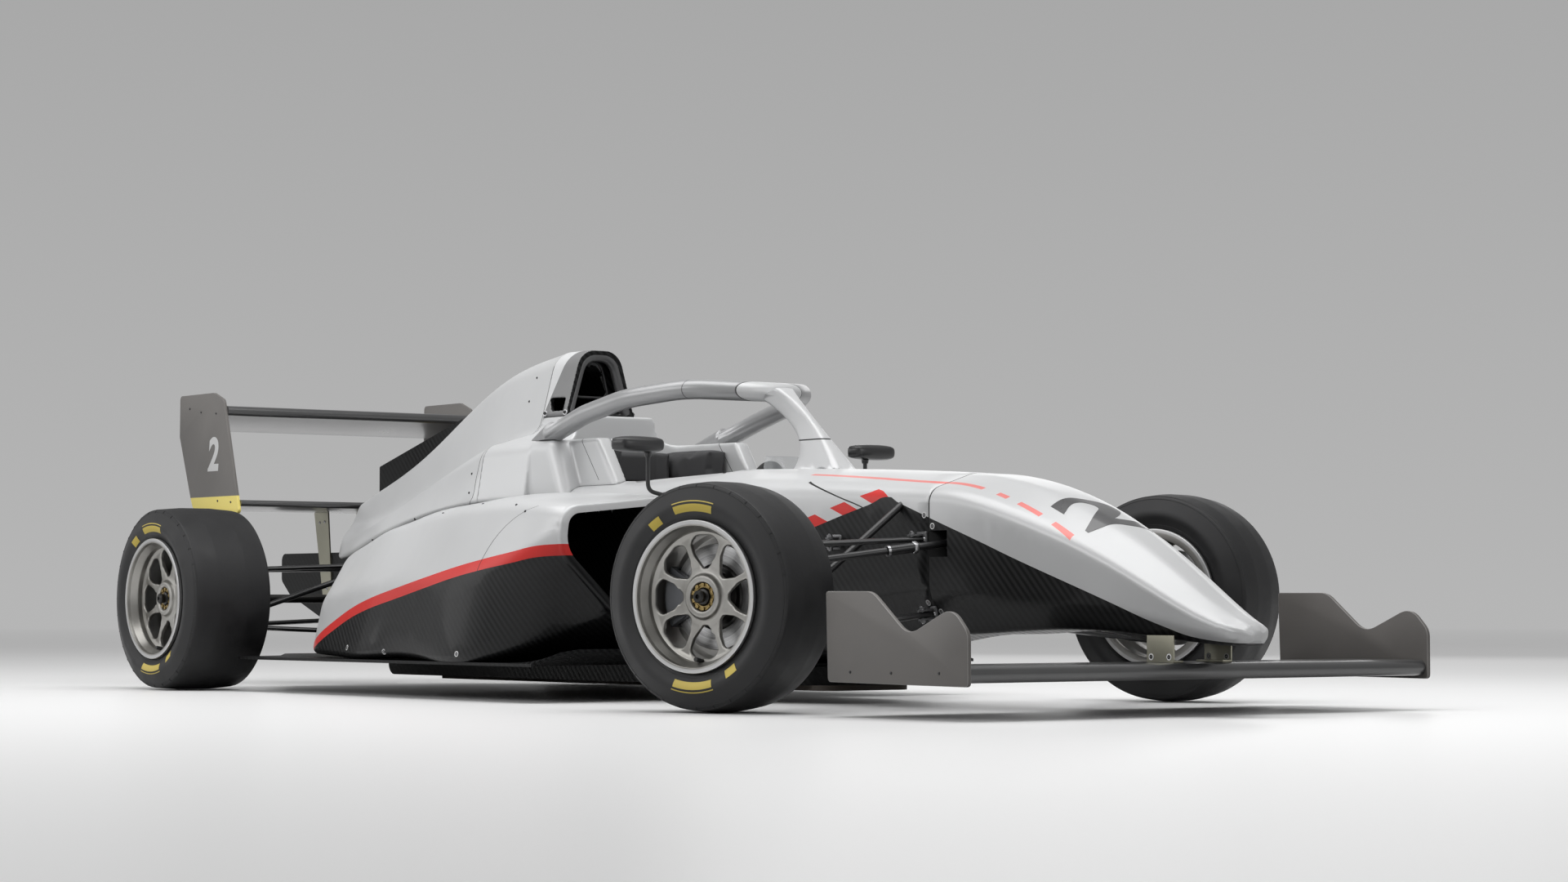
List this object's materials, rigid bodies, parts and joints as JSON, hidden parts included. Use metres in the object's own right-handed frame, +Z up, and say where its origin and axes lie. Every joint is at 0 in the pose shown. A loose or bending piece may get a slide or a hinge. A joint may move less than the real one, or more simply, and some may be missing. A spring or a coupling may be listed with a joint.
{
  "type": "open wheel racing car",
  "caption": "Single-seat open wheel racing car with a head protection hoop, front and rear wings, sidepods, exposed suspension and slick tyres; it steers and rolls.",
  "frame": {"origin": "on the ground, midway along the car's length, on its centre plane", "axes": "+X to the nose, +Y to the car's left, +Z up"},
  "size_m": [4.54, 1.8538, 1.004],
  "materials": {
    "paint_silver": "pearl silver paint over moulded panels",
    "carbon": "clear coated twill carbon",
    "dark_grey": "satin dark grey paint",
    "plank_wood": "dark resin board",
    "cast_metal": "as cast",
    "bare_aluminium": "matte finned core",
    "red_lens": "clear red lens",
    "clear_screen": "clear moulded sheet",
    "pad_foam": "dark covered foam",
    "black_grip": "textured grip",
    "endplate_grey": "satin warm grey paint",
    "bracket_plated": "plated sheet",
    "machined_steel": "machined",
    "black_steel": "satin black",
    "tyre_rubber": "slick rubber",
    "rim_metal": "machined magnesium grey"
  },
  "bodies": {
    "chassis": {"crash_structure": "carbon", "dash_panel": "carbon", "engine": "cast_metal", "engine_cover": "paint_silver", "floor": "carbon", "front_wing": "carbon", "front_wing_brackets": "bracket_plated", "front_wing_endplates": "endplate_grey", "gearbox": "cast_metal", "halo": "paint_silver", "headrest": "pad_foam", "headrest_surround": "paint_silver", "mirrors": "carbon", "monocoque": "paint_silver", "nose_cone": "paint_silver", "pushrods": "black_steel", "radiators": "bare_aluminium", "rain_light": "red_lens", "rear_wing_endplates": "endplate_grey", "rear_wing_planes": "carbon", "rear_wing_pylons": "bracket_plated", "roll_hoop": "dark_grey", "seat": "carbon", "shark_fin": "carbon", "sidepods": "paint_silver", "skid_plank": "plank_wood", "uprights_rear": "machined_steel", "windscreen": "clear_screen", "wishbones": "black_steel"},
    "wheel_front_left": {"hub_front_left": "machined_steel", "rim_front_left": "rim_metal", "tyre_front_left": "tyre_rubber"},
    "wheel_front_right": {"hub_front_right": "machined_steel", "rim_front_right": "rim_metal", "tyre_front_right": "tyre_rubber"},
    "wheel_rear_left": {"hub_rear_left": "machined_steel", "rim_rear_left": "rim_metal", "tyre_rear_left": "tyre_rubber"},
    "wheel_rear_right": {"hub_rear_right": "machined_steel", "rim_rear_right": "rim_metal", "tyre_rear_right": "tyre_rubber"},
    "steering_wheel_body": {"steering_wheel": "black_grip"},
    "steering_rack": {"track_rods": "black_steel"},
    "knuckle_left": {"upright_front_left": "machined_steel"},
    "knuckle_right": {"upright_front_right": "machined_steel"}
  },
  "joints": [
    {"name": "steer_right", "type": "hinge", "parent": "chassis", "child": "knuckle_right", "pos_m": [1.205, -0.7075, 0.276], "axis": [0, 0, 1], "range_deg": [-36.5, 3.5]},
    {"name": "steer_left", "type": "hinge", "parent": "chassis", "child": "knuckle_left", "pos_m": [1.205, 0.7075, 0.276], "axis": [0, 0, 1], "range_deg": [-36.5, 3.5]},
    {"name": "spin_front_right", "type": "hinge", "parent": "knuckle_right", "child": "wheel_front_right", "pos_m": [1.2192, -0.75544, 0.276], "axis": [-0.284, 0.9588, 0], "continuous": true},
    {"name": "spin_front_left", "type": "hinge", "parent": "knuckle_left", "child": "wheel_front_left", "pos_m": [1.1908, 0.75544, 0.276], "axis": [-0.284, 0.9588, 0], "continuous": true},
    {"name": "spin_rear_right", "type": "hinge", "parent": "chassis", "child": "wheel_rear_right", "pos_m": [-1.545, -0.7575, 0.276], "axis": [0, 1, 0], "continuous": true},
    {"name": "spin_rear_left", "type": "hinge", "parent": "chassis", "child": "wheel_rear_left", "pos_m": [-1.545, 0.7575, 0.276], "axis": [0, 1, 0], "continuous": true},
    {"name": "turn_steering_wheel", "type": "hinge", "parent": "chassis", "child": "steering_wheel_body", "pos_m": [0.3, 0, 0.522], "axis": [-0.9703, 0, 0.2419], "range_deg": [-274.75, 27.25]},
    {"name": "slide_rack", "type": "slide", "parent": "chassis", "child": "steering_rack", "axis": [0, 1, 0], "range_m": [-0.04442, 0.00471]}
  ],
  "couplings": [
    {"joint": "steer_left", "follows": "steer_right", "ratio": 1},
    {"joint": "turn_steering_wheel", "follows": "steer_right", "ratio": 7.5},
    {"joint": "slide_rack", "follows": "steer_right", "m_per_rad": 0.06895}
  ]
}
